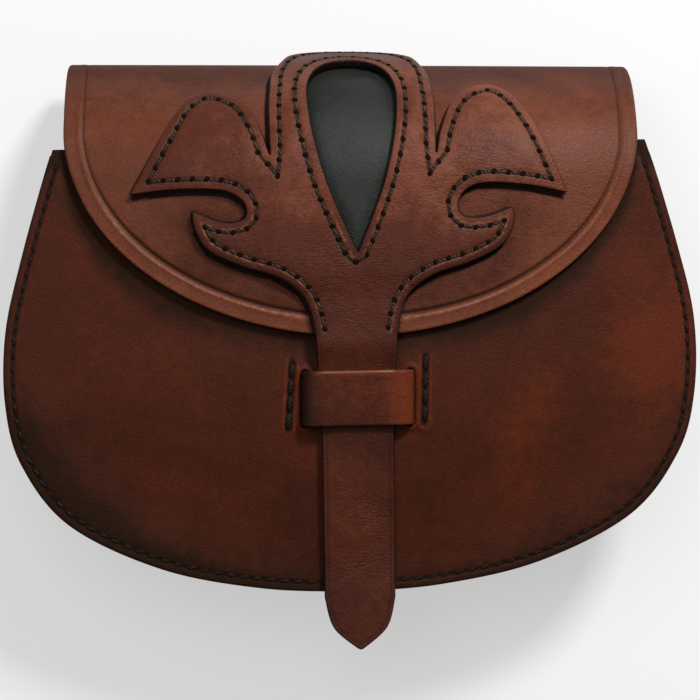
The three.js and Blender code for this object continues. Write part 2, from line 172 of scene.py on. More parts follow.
MIDDLE_RISE = SEAM_Z + float(dome(0.0, SHOULDER_Y)) + FLAP_TOP - CREST_Z
SHOULDER_ANGLES, SHOULDER_LENGTHS = quarter_lengths(CREST_Y - SHOULDER_Y, MIDDLE_RISE)
TURN_ANGLES, TURN_LENGTHS = quarter_lengths(CREST_Z - BACK_Z, TURN_DEPTH)
CREST_AT = SHOULDER_Y + SHOULDER_LENGTHS[-1]
BACK_AT = CREST_AT + TURN_LENGTHS[-1]


def back_line(y):
    """Where a height on the back lies along the flap's leather."""
    return BACK_AT + CREST_Y - TURN_DEPTH - y


def under_flap(x, along):
    """Under the flap's leather: up the front, over the shoulder and the turn, and down the back."""
    over = np.interp(along - SHOULDER_Y, SHOULDER_LENGTHS, SHOULDER_ANGLES)
    rise = SEAM_Z + dome(x, np.minimum(along, SHOULDER_Y)) - CREST_Z
    y = np.minimum(along, SHOULDER_Y) + SHOULDER_REACH * np.sin(over)
    z = CREST_Z + rise * np.cos(over)
    round_ = np.interp(along - CREST_AT, TURN_LENGTHS, TURN_ANGLES)
    y -= (TURN_DEPTH - FLAP_TOP) * (1 - np.cos(round_)) + np.maximum(along - BACK_AT, 0)
    z -= (CREST_Z - BACK_Z - FLAP_TOP) * np.sin(round_)
    return np.stack([x, y, z], axis=1)


def above(surface, x, along, height):
    """Places at a height over a surface, square to it."""
    step = 0.05
    across = surface(x + step, along) - surface(x - step, along)
    forward = surface(x, along + step) - surface(x, along - step)
    normal = np.cross(across, forward)
    normal /= np.linalg.norm(normal, axis=1)[:, None]
    return surface(x, along) + normal * height[:, None]


def waves(x, y, size, seed):
    """Slow unevenness of hide, about -1 to 1, with humps of the given size."""
    return np.array([noise.noise((a / size, b / size, seed)) for a, b in zip(x, y)]) * 1.6


# ---- Patterns cut from the hide -----------------------------------------------------------------------

def turned(points):
    """Points of the ornament's pattern with its lean."""
    cos, sin = math.cos(LEAN), math.sin(LEAN)
    return (np.asarray(points) - LEAN_CENTRE) @ np.array([[cos, sin], [-sin, cos]]) + LEAN_CENTRE


def mirrored(right, other=None):
    """A closed outline from its right half, going up, and the same or another half turned to the left."""
    left = (right if other is None else other)[::-1] * (-1, 1)
    return np.vstack([right, left[left[:, 0] < -1e-6]])


def ease_corners(loop, radius):
    """A closed outline with its sharp corners rounded a little."""
    before = loop - np.roll(loop, 1, 0)
    after = np.roll(loop, -1, 0) - loop
    turn = np.abs((np.arctan2(after[:, 1], after[:, 0]) - np.arctan2(before[:, 1], before[:, 0]) + math.pi)
                  % (2 * math.pi) - math.pi)
    corners = loop[turn > math.radians(35)]
    for corner in corners:
        near = np.hypot(*(loop - corner).T) < radius
        middle = np.flatnonzero(np.hypot(*(loop - corner).T) < 1e-9)[0]
        first, last = middle, middle
        while near[first - 1]:
            first -= 1
        while near[(last + 1) % len(loop)]:
            last += 1
        start, end = loop[(first - 1) % len(loop)], loop[(last + 1) % len(loop)]
        t = np.linspace(0, 1, 6)[1:-1, None]
        bow = start * (1 - t) ** 2 + corner * 2 * t * (1 - t) + end * t ** 2
        loop = np.vstack([np.roll(loop, -(last + 1) % len(loop), 0)[:len(loop) - (last - first + 1)], bow])
    return loop


def evened(line, pitch, closed=True):
    """A line stepped at an even pitch, its corners kept."""
    ends = np.roll(line, -1, 0) if closed else line[1:]
    pieces = []
    for start, end in zip(line, ends):
        count = max(1, round(float(np.hypot(*(end - start))) / pitch))
        pieces.append(start + (end - start) * (np.arange(count) / count)[:, None])
    return np.vstack(pieces if closed else pieces + [line[-1:]])


def edge_distance(points, loops):
    """How far each point lies from the nearest cut edge."""
    starts = np.vstack(loops)
    along = np.vstack([np.roll(loop, -1, 0) for loop in loops]) - starts
    squared = (along ** 2).sum(1)
    nearest = np.empty(len(points))
    for first in range(0, len(points), 1000):
        part = points[first:first + 1000, None] - starts
        t = np.clip((part * along).sum(2) / squared, 0, 1)
        nearest[first:first + 1000] = np.sqrt(((part - t[..., None] * along) ** 2).sum(2).min(1))
    return nearest


def inside(points, loops):
    """Which points lie on the leather: inside the outline and outside its holes."""
    starts = np.vstack(loops)
    ends = np.vstack([np.roll(loop, -1, 0) for loop in loops])
    found = np.empty(len(points), bool)
    for first in range(0, len(points), 1000):
        x, y = points[first:first + 1000, None, 0], points[first:first + 1000, None, 1]
        spans = (starts[:, 1] > y) != (ends[:, 1] > y)
        with np.errstate(divide="ignore", invalid="ignore"):
            across, up = (ends - starts).T
            meet = starts[:, 0] + (y - starts[:, 1]) * across / up
        found[first:first + 1000] = (spans & (x < meet)).sum(1) % 2 == 1
    return found


def ring(loop, depth, loops):
    """The line at a depth inside an outline that has its leather on the left."""
    before = loop - np.roll(loop, 1, 0)
    after = np.roll(loop, -1, 0) - loop
    heading = np.arctan2(before[:, 1], before[:, 0])
    turn = (np.arctan2(after[:, 1], after[:, 0]) - heading + math.pi) % (2 * math.pi) - math.pi
    points = []
    for place, angle, bend in zip(loop, heading, turn):
        count = 2 + int(-bend * depth / 0.8) if bend < -0.3 else 1
        for share in np.linspace(0, 1, count) if count > 1 else [0.5]:
            facing = angle + bend * share + math.pi / 2
            reach = depth / math.cos(bend / 2) if count == 1 else depth
            points.append(place + reach * np.array([math.cos(facing), math.sin(facing)]))
    points = np.array(points)
    return points[(edge_distance(points, loops) > depth - 0.03) & inside(points, loops)]


def beside(line, offsets):
    """Places along both sides of a line."""
    heading = np.gradient(line, axis=0)
    heading /= np.hypot(*heading.T)[:, None]
    return np.vstack([line + offset * heading[:, ::-1] * (-1, 1) for offset in offsets])


def cut_sheet(loops, depths, spacing, close=None):
    """Flat triangles of a cut piece: close at its edges and at given places, wider elsewhere."""
    points = [*loops]
    for depth in depths:
        points += [ring(loop, depth, loops) for loop in loops]
    low, high = loops[0].min(0), loops[0].max(0)
    rows = np.arange(low[1], high[1], spacing * 0.866)
    columns = np.arange(low[0], high[0], spacing)
    field = np.array([(x + (row % 2) * spacing / 2, y) for row, y in enumerate(rows) for x in columns])
    field = field[inside(field, loops)]
    points.append(field[edge_distance(field, loops) > depths[-1] + spacing * 0.55])
    if close is not None:
        points.append(close[inside(close, loops) & (edge_distance(close, loops) > 0.3)])
    edges, count = [], 0
    for loop in loops:
        edges += [(count + i, count + (i + 1) % len(loop)) for i in range(len(loop))]
        count += len(loop)
    points = np.vstack(points)
    flat, _, faces, *_ = delaunay_2d_cdt([Vector(point) for point in points.tolist()], edges, [], 0, 1e-4)
    flat = np.array([tuple(point) for point in flat])
    faces = np.array(faces)
    return flat, faces[inside(flat[faces].mean(1), loops)]


EDGE_RINGS = [0.06, 0.22, 0.5, 0.9, 1.4]     # depths of the close lines that shape a rounded edge


def seam_rings(depth):
    """Depths of the close lines that shape a seam's groove and the lip beside it."""
    return [depth + aside for aside in (-1.2, -0.8, -0.5, -0.25, 0, 0.25, 0.5, 1.1)]


def select_only(piece):
    bpy.ops.object.select_all(action="DESELECT")
    piece.select_set(True)
    bpy.context.view_layer.objects.active = piece


def new_piece(name, places, faces):
    mesh = bpy.data.meshes.new(name)
    mesh.from_pydata(np.asarray(places).tolist(), [], [tuple(face) for face in faces])
    piece = bpy.data.objects.new(name, mesh)
    bpy.context.scene.collection.objects.link(piece)
    select_only(piece)
    return piece


def turn_outwards():
    """Every face of the active piece looks outwards."""
    bpy.ops.object.mode_set(mode="EDIT")
    bpy.ops.mesh.select_all(action="SELECT")
    bpy.ops.mesh.normals_make_consistent(inside=False)
    bpy.ops.object.mode_set(mode="OBJECT")


def slope(x, y):
    """How much higher the pouch hangs at a place."""
    return ASKEW * x * ramp(y, ASKEW_TOP, POUCH_MIDDLE)


def hung(places, below=1000.0):
    """Places with the pouch's slight slope; those that aren't below a given height stay level."""
    x, y, z = np.asarray(places).T
    return np.column_stack([x, y + np.where(z < below, slope(x, y), 0), z])


def set_places(piece, places):
    piece.data.vertices.foreach_set("co", (np.asarray(places) + (0, BAG_SHIFT, 0)).ravel() * MM)
    piece.data.update()


def mark(piece, name, values):
    """A value for each vertex, which the leather's finish reads."""
    layer = piece.data.attributes.new(name, "FLOAT", "POINT")
    layer.data.foreach_set("value", np.asarray(values, np.float32))


def leather_piece(name, loops, thickness, depths, spacing, place, relief, finish, groove=None, tone_and_painted_light=None,
                  rounding=0.6, worn=None, close=None):
    """Leather cut to a pattern, its edges rounded, its face worked, given its colour and its painted light
    and shade, and laid in place. Where worn outlines are given, only they get the full rounding and the dark
    edge."""
    flat, faces = cut_sheet(loops, depths, spacing, close)
    piece = new_piece(name, np.column_stack([flat, np.zeros(len(flat))]), faces)
    bpy.ops.object.mode_set(mode="EDIT")
    bpy.ops.mesh.select_all(action="SELECT")
    bpy.ops.mesh.extrude_region_move(TRANSFORM_OT_translate={"value": (0, 0, thickness)})
    bpy.ops.object.mode_set(mode="OBJECT")
    turn_outwards()
    solid = np.empty(len(piece.data.vertices) * 3)
    piece.data.vertices.foreach_get("co", solid)
    x, y, z = solid.reshape(-1, 3).T
    depth = edge_distance(np.column_stack([x, y]), loops)
    worn_depth = edge_distance(np.column_stack([x, y]), worn or loops)
    radius = np.where(worn_depth < depth + 1e-6, rounding, 0.25)
    drop = radius - np.sqrt(np.maximum(0, radius ** 2 - np.maximum(0, radius - depth) ** 2))
    top = z > thickness / 2
    height = np.where(top, thickness - drop, drop * 0.6)
    height += np.where(top, relief(x, y, depth), 0)
    set_places(piece, place(x, y, height))
    mark(piece, "edge", worn_depth)
    mark(piece, "groove", groove(x, y, depth) if groove else np.zeros(len(x)))
    # painted light and shade, with some colour of the leather's own, which the finish shades the face by
    mark(piece, "tone_and_painted_light", tone_and_painted_light(x, y, depth) if tone_and_painted_light else np.zeros(len(x)))
    mark(piece, "flesh", 1.0 - top)
    for material in finish:
        piece.data.materials.append(material)
    if len(finish) > 1:
        below = ~top & (depth > 0.4)
        for face in piece.data.polygons:
            face.material_index = int(all(below[corner] for corner in face.vertices))
    bpy.ops.object.shade_smooth()
    return piece


def join_bag(piece, slot, *nodes):
    """The piece rides on the bag and stands for its solids; its slot is not used."""
    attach(piece, "root")
    if nodes:
        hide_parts(*nodes)
    return piece


# ---- Finishes -----------------------------------------------------------------------------------------

def add_node(tree, kind, inputs=None, **settings):
    """A node with its settings; each input is a value or another node's output."""
    node = tree.nodes.new("ShaderNode" + kind)
    for key, value in settings.items():
        setattr(node, key, value)
    for key, value in (inputs or {}).items():
        if isinstance(value, bpy.types.NodeSocket):
            tree.links.new(value, node.inputs[key])
        else:
            node.inputs[key].default_value = value
    return node


def colour_mix(tree, share, first, second, blend="MIX"):
    node = add_node(tree, "Mix", {0: share, 6: first, 7: second}, data_type="RGBA", blend_type=blend)
    return node.outputs[2]


def sum_of(tree, first, second, operation="ADD"):
    return add_node(tree, "Math", {0: first, 1: second}, operation=operation).outputs[0]


def from_to(tree, value, low, high, to_low=0.0, to_high=1.0):
    inputs = {"Value": value, "From Min": low, "From Max": high, "To Min": to_low, "To Max": to_high}
    return add_node(tree, "MapRange", inputs, interpolation_type="SMOOTHSTEP").outputs[0]


def new_finish(name):
    material = bpy.data.materials.new(name)
    material.use_nodes = True
    tree = material.node_tree
    return material, tree, tree.nodes["Principled BSDF"]


def noise_on(tree, places, scale, detail=3.0, roughness=0.55, distortion=0.0):
    inputs = {"Vector": places, "Scale": scale, "Detail": detail, "Roughness": roughness,
              "Distortion": distortion}
    return add_node(tree, "TexNoise", inputs).outputs["Fac"]


def leather_finish(name, deep, middle, warm, edge, rough=(0.4, 0.52), wrinkle=0.4, shine=0.16):
    """Dyed, waxed hide: its colour shaded by painted light and shade, with pores, fine wrinkles and
    hairlines, lips painted pale as highlights, dark burnished edges, and grooves painted dark as shade."""
    material, tree, shader = new_finish(name)
    places = add_node(tree, "TexCoord").outputs["Object"]
    # the painted light and shade given to each piece, read from its vertices
    tone_and_painted_light = add_node(tree, "Attribute", attribute_name="tone_and_painted_light").outputs["Fac"]
    edge_in = add_node(tree, "Attribute", attribute_name="edge").outputs["Fac"]
    groove = add_node(tree, "Attribute", attribute_name="groove").outputs["Fac"]

    slow = noise_on(tree, places, 32, 3, 0.6, 0.5)
    quick = noise_on(tree, places, 240, 4, 0.7)
    pores = noise_on(tree, places, 1500, 2, 0.5)
    cloud = sum_of(tree, from_to(tree, slow, 0.25, 0.75, -0.16, 0.16),
                   from_to(tree, quick, 0.3, 0.7, -0.1, 0.1))
    # painted light and shade picks the colour from deep through middle to warm
    shade = sum_of(tree, sum_of(tree, cloud, tone_and_painted_light), 0.5)
    colour = colour_mix(tree, sum_of(tree, shade, 2.0, "MULTIPLY"), deep, middle)
    colour = colour_mix(tree, from_to(tree, shade, 0.5, 1.0), colour, warm)
    hairs = 0.0
    for turn in (0.5, 2.2):
        drawn = add_node(tree, "Mapping", {"Vector": places, "Scale": (9.0, 1.0, 1.0),
                                           "Rotation": (0, 0, turn)}, vector_type="TEXTURE")
        hair = from_to(tree, noise_on(tree, drawn.outputs[0], 800, 2, 0.5, 0.3), 0.63, 0.7)
        here = from_to(tree, noise_on(tree, places, 40 + 10 * turn, 2), 0.52, 0.64)
        hairs = sum_of(tree, sum_of(tree, hair, here, "MULTIPLY"), hairs)
    colour = colour_mix(tree, sum_of(tree, hairs, 0.2, "MULTIPLY"), colour, warm)
    # painted highlight: the lightest places are mixed towards a pale pink-brown
    colour = colour_mix(tree, from_to(tree, tone_and_painted_light, 0.55, 1.05), colour, (0.3, 0.155, 0.115, 1))
    speckle = from_to(tree, pores, 0.30, 0.66, 0.84, 1.08)
    grey = add_node(tree, "CombineColor", {0: speckle, 1: speckle, 2: speckle}).outputs[0]
    colour = colour_mix(tree, 1.0, colour, grey, "MULTIPLY")
    worn_edge = from_to(tree, edge_in, 0.08, 0.5, 1.0, 0.0)
    colour = colour_mix(tree, worn_edge, colour, edge)
    # painted shade in grooves and painted shadow beside the ornament, in the burnished edge colour
    colour = colour_mix(tree, sum_of(tree, groove, 0.93, "MULTIPLY"), colour, edge)
    tree.links.new(colour, shader.inputs["Base Color"])

    matte = sum_of(tree, from_to(tree, tone_and_painted_light, -0.1, -0.7, 0.0, 0.3),
                   from_to(tree, groove, 0.2, 1.0, 0.0, 0.3))
    tree.links.new(sum_of(tree, from_to(tree, quick, 0.3, 0.7, *rough), matte), shader.inputs["Roughness"])
    shader.inputs["IOR"].default_value = 1.45
    shader.inputs["Specular IOR Level"].default_value = shine

    stretched = add_node(tree, "Mapping", {"Vector": places, "Scale": (0.5, 1.5, 1.0),
                                           "Rotation": (0, 0, 0.12)}).outputs[0]
    lines = add_node(tree, "TexVoronoi", {"Vector": stretched, "Scale": 620.0, "Randomness": 1.0},
                     feature="DISTANCE_TO_EDGE").outputs["Distance"]
    lines = from_to(tree, lines, 0.0, 0.2)
    pebbles = add_node(tree, "TexVoronoi", {"Vector": places, "Scale": 1000.0}, feature="SMOOTH_F1")
    patches = from_to(tree, noise_on(tree, places, 45, 2), 0.38, 0.66, 0.25, 1.0)
    creases = add_node(tree, "Bump", {"Height": sum_of(tree, lines, hairs, "SUBTRACT"), "Distance": 0.00016,
                                      "Strength": sum_of(tree, patches, wrinkle, "MULTIPLY")})
    grain = add_node(tree, "Bump", {"Height": sum_of(tree, pebbles.outputs["Distance"], pores),
                                    "Strength": 0.62, "Distance": 0.00016, "Normal": creases.outputs[0]})
    tree.links.new(grain.outputs[0], shader.inputs["Normal"])
    return material


def flesh_finish(name, dark, light):
    """The fibrous underside of the hide."""
    material, tree, shader = new_finish(name)
    places = add_node(tree, "TexCoord").outputs["Object"]
    nap = noise_on(tree, places, 900, 5, 0.7)
    cloud = noise_on(tree, places, 40, 3)
    share = from_to(tree, sum_of(tree, nap, cloud), 0.75, 1.3)
    tree.links.new(colour_mix(tree, share, dark, light), shader.inputs["Base Color"])
    tree.links.new(from_to(tree, nap, 0.2, 0.8, 0.8, 0.95), shader.inputs["Roughness"])
    bump = add_node(tree, "Bump", {"Height": nap, "Strength": 0.5, "Distance": 0.0002})
    tree.links.new(bump.outputs[0], shader.inputs["Normal"])
    shader.inputs["Sheen Weight"].default_value = 0.3
    shader.inputs["Sheen Roughness"].default_value = 0.6
    return material


def thread_finish(name, dark, light, rough):
    """Waxed thread, its plies turning along it."""
    material, tree, shader = new_finish(name)
    places = add_node(tree, "TexCoord").outputs["Object"]
    plies = add_node(tree, "TexWave", {"Vector": places, "Scale": 420.0, "Distortion": 3.0, "Detail": 2.0},
                     bands_direction="DIAGONAL").outputs["Fac"]
    soil = noise_on(tree, places, 300, 3)
    share = from_to(tree, sum_of(tree, plies, soil), 0.6, 1.5)
    tree.links.new(colour_mix(tree, share, dark, light), shader.inputs["Base Color"])
    tree.links.new(from_to(tree, soil, 0.3, 0.7, rough - 0.08, rough + 0.08), shader.inputs["Roughness"])
    bump = add_node(tree, "Bump", {"Height": plies, "Strength": 0.5, "Distance": 0.0001})
    tree.links.new(bump.outputs[0], shader.inputs["Normal"])
    shader.inputs["Specular IOR Level"].default_value = 0.12
    return material


# colour of the burnished edges, also used for painted shade in grooves and the painted shadow beside the
# ornament
BURNISHED_AND_SHADE = (0.006, 0.003, 0.002, 1)
flap_leather = leather_finish("flap leather",
                              (0.07, 0.014, 0.0045, 1), (0.16, 0.0435, 0.021, 1), (0.235, 0.064, 0.028, 1),
                              BURNISHED_AND_SHADE, wrinkle=0.28, shine=0.18)
ornament_leather = leather_finish("ornament leather",
                                  (0.055, 0.0125, 0.0055, 1), (0.108, 0.0255, 0.0125, 1),
                                  (0.235, 0.068, 0.035, 1), BURNISHED_AND_SHADE, wrinkle=0.6, shine=0.18)
body_leather = leather_finish("body leather",
                              (0.027, 0.0102, 0.0046, 1), (0.073, 0.0172, 0.0083, 1),
                              (0.126, 0.0245, 0.0092, 1), BURNISHED_AND_SHADE, (0.44, 0.56), wrinkle=0.22, shine=0.1)
keeper_leather = leather_finish("keeper leather",
                                (0.022, 0.0075, 0.004, 1), (0.068, 0.0145, 0.0075, 1),
                                (0.16, 0.03, 0.0095, 1), BURNISHED_AND_SHADE, (0.38, 0.5), wrinkle=0.3, shine=0.16)
black_leather = leather_finish("inlay leather",
                               (0.016, 0.0175, 0.015, 1), (0.034, 0.0375, 0.0325, 1), (0.052, 0.057, 0.05, 1),
                               (0.004, 0.004, 0.004, 1), (0.5, 0.6), shine=0.2)
flesh_side = flesh_finish("flesh side", (0.06, 0.028, 0.016, 1), (0.15, 0.075, 0.042, 1))
brown_thread = thread_finish("waxed brown thread", (0.017, 0.0105, 0.0065, 1), (0.085, 0.051, 0.029, 1),
                             0.62)
# painted shade: a near-black finish for the lenses laid over the stitch holes
painted_hole_shade = thread_finish("painted hole shade", (0.0025, 0.0015, 0.001, 1), (0.007, 0.0045, 0.0035, 1), 0.85)
black_thread = thread_finish("waxed black thread", (0.004, 0.003, 0.002, 1), (0.026, 0.018, 0.0135, 1),
                             0.66)


# ---- Stitching ----------------------------------------------------------------------------------------

def model_stitch(length, width, height, segments=8, rings=7):
    """One stitch lying along X, thick in its middle and pulled down at both ends."""
    bpy.ops.object.select_all(action="DESELECT")
    bpy.ops.mesh.primitive_uv_sphere_add(segments=segments, ring_count=rings, radius=0.5,
                                         rotation=(0, math.pi / 2, 0))
    ball = bpy.context.object
    bpy.ops.object.transform_apply(location=False, rotation=True, scale=False)
    places = np.array([tuple(vertex.co) for vertex in ball.data.vertices])
    faces = [tuple(face.vertices) for face in ball.data.polygons]
    bpy.data.objects.remove(ball)
    share = np.abs(places[:, 0]) * 2
    ball_half = np.maximum(np.sqrt(np.maximum(1 - share ** 2, 0.001)), 0.03)
    places[:, 1:] *= (1 / ball_half * (1 - share ** 4) ** 0.5)[:, None]
    places *= (length, width, height)
    places[:, 2] -= height * share ** 3 * 0.8
    return places, faces


def awl_holes(line, pitch):
    """Holes at a nearly even pitch along a line, with one at each of its corners and ends."""
    heading = np.unwrap(np.arctan2(*np.diff(line, axis=0).T[::-1]))
    corners = np.flatnonzero(np.abs(np.diff(heading)) > math.radians(38)) + 1
    holes = []
    for first, last in zip([0, *corners], [*corners, len(line) - 1]):
        stretch = line[first:last + 1]
        reach = np.concatenate([[0], np.cumsum(np.hypot(*np.diff(stretch, axis=0).T))])
        at = np.linspace(0, reach[-1], max(1, round(reach[-1] / pitch)) + 1)[:-1]
        holes.append(np.column_stack([np.interp(at, reach, stretch[:, k]) for k in (0, 1)]))
    return np.vstack([*holes, line[-1:]])


def copies(name, model, starts, ends, place, height, material, slant=0.0):
    """One modelled shape, 1 long, repeated from place to place of a pattern and laid on its surface."""
    shape, faces = model
    cos, sin = math.cos(slant), math.sin(slant)
    local = shape @ np.array([[cos, sin, 0], [-sin, cos, 0], [0, 0, 1]])
    points, every = [], []
    for index, (start, end) in enumerate(zip(starts, ends)):
        along = end - start
        side = np.array([-along[1], along[0]]) / np.hypot(*along)
        flat = (start + end) / 2 + local[:, :1] * along + local[:, 1:2] * side
        points.append(np.column_stack([flat, local[:, 2]]))
        every += [tuple(k + index * len(shape) for k in face) for face in faces]
    points = np.vstack(points)
    piece = new_piece(name, points, every)
    set_places(piece, place(points[:, 0], points[:, 1], points[:, 2] + height))
    piece.data.materials.append(material)
    bpy.ops.object.shade_smooth()
    return piece


def facing(holes):
    """Ends of a line 1 long through each hole, along the seam."""
    heading = np.gradient(holes, axis=0)
    heading /= np.hypot(*heading.T)[:, None]
    return holes - heading / 2, holes + heading / 2


def saddle_seam(name, lines, pitch, place, height, thread, slot, width=1.0, share=1.0, awl=None, slant=0.0):
    """Waxed thread from hole to hole along one or more lines, each stitch over a share of the pitch."""
    made = []
    for number, line in enumerate(lines):
        holes = awl_holes(line, pitch)
        stitch = model_stitch(share, width, width * 0.8)
        made.append(copies(f"{name}_{number}", stitch, holes[:-1], holes[1:], place, height, thread, slant))
        if awl:
            long, wide, raised = awl
            # a near-black lens over each hole, painted shade of the hole
            hole = model_stitch(long, wide, 0.5, 8, 5)
            made.append(copies(f"{name}_holes_{number}", hole, *facing(holes), place, height + raised,
                               painted_hole_shade, math.radians(58)))
    bpy.ops.object.select_all(action="DESELECT")
    for piece in made:
        piece.select_set(True)
    bpy.context.view_layer.objects.active = made[0]
    if len(made) > 1:
        bpy.ops.object.join()
    seam = bpy.context.object
    seam.name = name
    turn_outwards()
    return join_bag(seam, slot)


# ---- Front panel --------------------------------------------------------------------------------------

def slot_outline(x, y, width, height):
    """A narrow slit with round ends, its leather on the left."""
    half = width / 2
    turn = np.linspace(0, math.pi, 7)
    low = np.column_stack([np.cos(turn), -np.sin(turn)]) * half + (0, -height / 2 + half)
    return evened(np.vstack([low, -low]) + (x, y), 1.2)


right_corner = (100.6, 71.9)          # the mouth's right corner stands a little higher
body_outline = mirrored(BODY[::-1])
body_outline = evened(np.insert(body_outline, len(BODY), right_corner, axis=0), 1.2)
slit_size = (KEEPER + SLIT_ROOM[0], KEEPER_WIDTH + SLIT_ROOM[1])
slits = [slot_outline(KEEPER_AT[0] + side * SLIT_X, KEEPER_AT[1], *slit_size) for side in (-1, 1)]


def from_flap(x, y):
    """How far a place of the panel lies below the flap's edge."""
    across = np.clip(np.abs(x) / FLAP_HALF, 0, 0.999)
    return FLAP_WIDEST - FLAP_DROP * np.sqrt(1 - across ** 2) - y


def outer_depth(x, y):
    """How far a place of the panel lies inside its outline."""
    return edge_distance(np.column_stack([x, y]), [body_outline])


# stitches beside the keeper, left and right
keeper_lines = [evened(np.array(line), 1.0, closed=False)
                for line in ([(-20.3, -3.6), (-21.6, -26.6)], [(24.7, -2.2), (24.4, -25.2)])]


def from_stitches(x, y):
    """How far a place lies from the stitches beside the keeper."""
    there_and_back = [np.vstack([line, line[-2:0:-1]]) for line in keeper_lines]
    return edge_distance(np.column_stack([x, y]), there_and_back)


def panel_relief(x, y, depth):
    outer = outer_depth(x, y)
    sewn = from_stitches(x, y)
    from_keeper = np.abs(np.abs(x - KEEPER_AT[0]) - SLIT_X - 3.6)
    raised = ridge(from_keeper, 0, 4.0) * (1 - soft_ramp(np.abs(y - KEEPER_AT[1]), 8, 15))
    low = waves(x, y, 42, 3.0) * 0.25 + waves(x, y, 16, 8.0) * 0.08
    low = low * soft_ramp(outer, 3, 14) - 0.4 * ridge(outer, BODY_SEAM_IN, 0.75)
    lip = 0.45 * ridge(depth, 0.9, 0.8) * (outer > 20)
    return low + lip + 0.5 * raised - 0.6 * ridge(sewn, 0, 0.9) + 0.3 * ridge(sewn, 1.9, 0.6)


# painted shade in the seam's groove and along the keeper's stitch lines
def panel_groove_painted_shade(x, y, depth):
    return np.maximum(ridge(outer_depth(x, y), BODY_SEAM_IN, 0.6) * (y < MOUTH_Y - 6) * 0.7,
                      ridge(from_stitches(x, y), 0, 0.9))


def panel_tone_and_painted_light(x, y, depth):
    """Painted light and shade: warm and light at the right under the flap, lighter at the upper left, painted
    shade at the left, the bottom and along the edge, a painted shadow below the flap, and painted highlights
    on the lips beside the keeper's stitches, round its slits and beside the seam.
    """
    shade = 0.42 * spot(x, y, (104, 1), (18, 31)) + 0.26 * spot(x, y, (60, -27), (13, 17)) + 0.03
    outer = outer_depth(x, y)
    shade += 0.2 * spot(x, y, (-80, 15), (28, 30))
    shade -= 0.5 * (1 - soft_ramp(x + body_half(y), 2, 34)) * soft_ramp(-y, 0, 36)
    shade -= (0.34 * (1 - soft_ramp(outer, 1, 18)) * soft_ramp(-y, -10, 40)
              + 0.2 * (1 - soft_ramp(outer, 1, 7)))
    # painted shadow below the flap's edge, wider at the left
    aside = soft_ramp(-x, 35, 85) + 0.5 * soft_ramp(x, 15, 60)
    below = (from_flap(x, y) - 5 * aside) / (13 - 2 * aside)
    shade -= (0.5 + 0.25 * aside) * (1 - soft_ramp(below, 0, 1))
    # painted highlights on the raised lips beside the keeper's stitches, round the slits and beside the seam
    painted_highlight = 0.6 + 0.5 * waves(x, y, 2.2, 6.0)
    shade += (0.7 * painted_highlight * ridge(from_stitches(x, y), 1.8, 0.5)
              + 0.25 * ridge(depth, 0.8, 0.7) * (outer > 20))
    return shade + 0.3 * painted_highlight * ridge(np.abs(outer - BODY_SEAM_IN), 1.15, 0.3)


def on_panel(x, y, height):
    return hung(above(front, x, y, height - PANEL))


by_stitches = np.vstack([beside(line, [0, -0.6, 0.6, -1.2, 1.2, -1.9, 1.9, -2.6, 2.6])
                         for line in keeper_lines])
panel = leather_piece("front_panel_leather", [body_outline, *slits], PANEL,
                      EDGE_RINGS + seam_rings(BODY_SEAM_IN), 2.4, on_panel, panel_relief,
                      [body_leather, flesh_side], panel_groove_painted_shade, panel_tone_and_painted_light, worn=[body_outline],
                      close=by_stitches)
join_bag(panel, "body_leather", "front_panel")


def edge_seam(name, outline, sewn, middle, way, place, height):
    """Black thread beside the pouch's edge, in order round its middle, where the leather is sewn."""
    line = ring(outline, BODY_SEAM_IN, [outline])
    line = line[sewn(line[:, 1])]
    line = line[np.argsort(np.arctan2(line[:, 0], way * (line[:, 1] - middle)))]
    saddle_seam(name, [line], BODY_PITCH, place, height, black_thread, "body_leather", width=1.5, share=0.9,
                slant=-0.14)


edge_seam("front_seam", body_outline, lambda y: y < MOUTH_Y - BODY_SEAM_IN - 0.2, POUCH_MIDDLE, -1,
          on_panel, PANEL - 0.35)

# ---- Patterns of the ornament, its tongue and its window ----------------------------------------------

WINGS = {                       # each wing's upper edge from its notch, then its lower edge to the lobe
    "right": ([NOTCH, (29.6, 73.6), (34.2, 84.6), (40.6, 90.7), (47.5, 92.5), (54.2, 87.7),
               (60.8, 76.6), (66.2, 64.3), (71.4, 51.5)],
              [(71.4, 51.5), (58.4, 54.3), (45, 55.4), (38, 53.6), (34.6, 48.8), (36.6, 44.3), (44, 44.3),
               (52.6, 47.4)]),
    "left": ([NOTCH, (30.8, 74.3), (35.7, 83.7), (41.4, 88.3), (47, 90.3), (52.7, 88.6),
              (58.1, 82.6), (64, 71.3), (74.4, 53)],
             [(74.4, 53), (62, 54.4), (50.8, 54.6), (42, 53.6), (36.7, 50), (36.2, 45.2), (40.8, 43.4),
              (46.7, 44.5), (53.7, 47.6)]),
}
# a lobe's lower edge, down to the tongue
LOBE = [(53, 41.7), (48.8, 34.3), (38.3, 28.8), (25.7, 24.6), (17.3, 17.7), (14, 6.7), (13.2, -6.1)]


def ornament_half(wing, under):
    """Half the ornament's outline, from the tongue's tip up to the top of the arch."""
    arch = np.linspace(0, math.pi / 2, 60)
    return np.vstack([
        np.column_stack([ARCH_HALF * np.sin(arch), ARCH_FOOT + ARCH_RISE * np.cos(arch)])[:-1],
        smooth_line([(ARCH_HALF, ARCH_FOOT), (27.9, 82.1), NOTCH], 24)[:-1],
        smooth_line(wing, 90)[:-1],
        smooth_line(under, 90)[:-1],
        smooth_line([under[-1], *LOBE], 84)[:-1],
        smooth_line([LOBE[-1], (12.1, -26.8), TONGUE_CORNER], 80)[:-1],
        smooth_line([TONGUE_CORNER, (9, -94.3), (0, -102.1)], 22),
    ])[::-1]


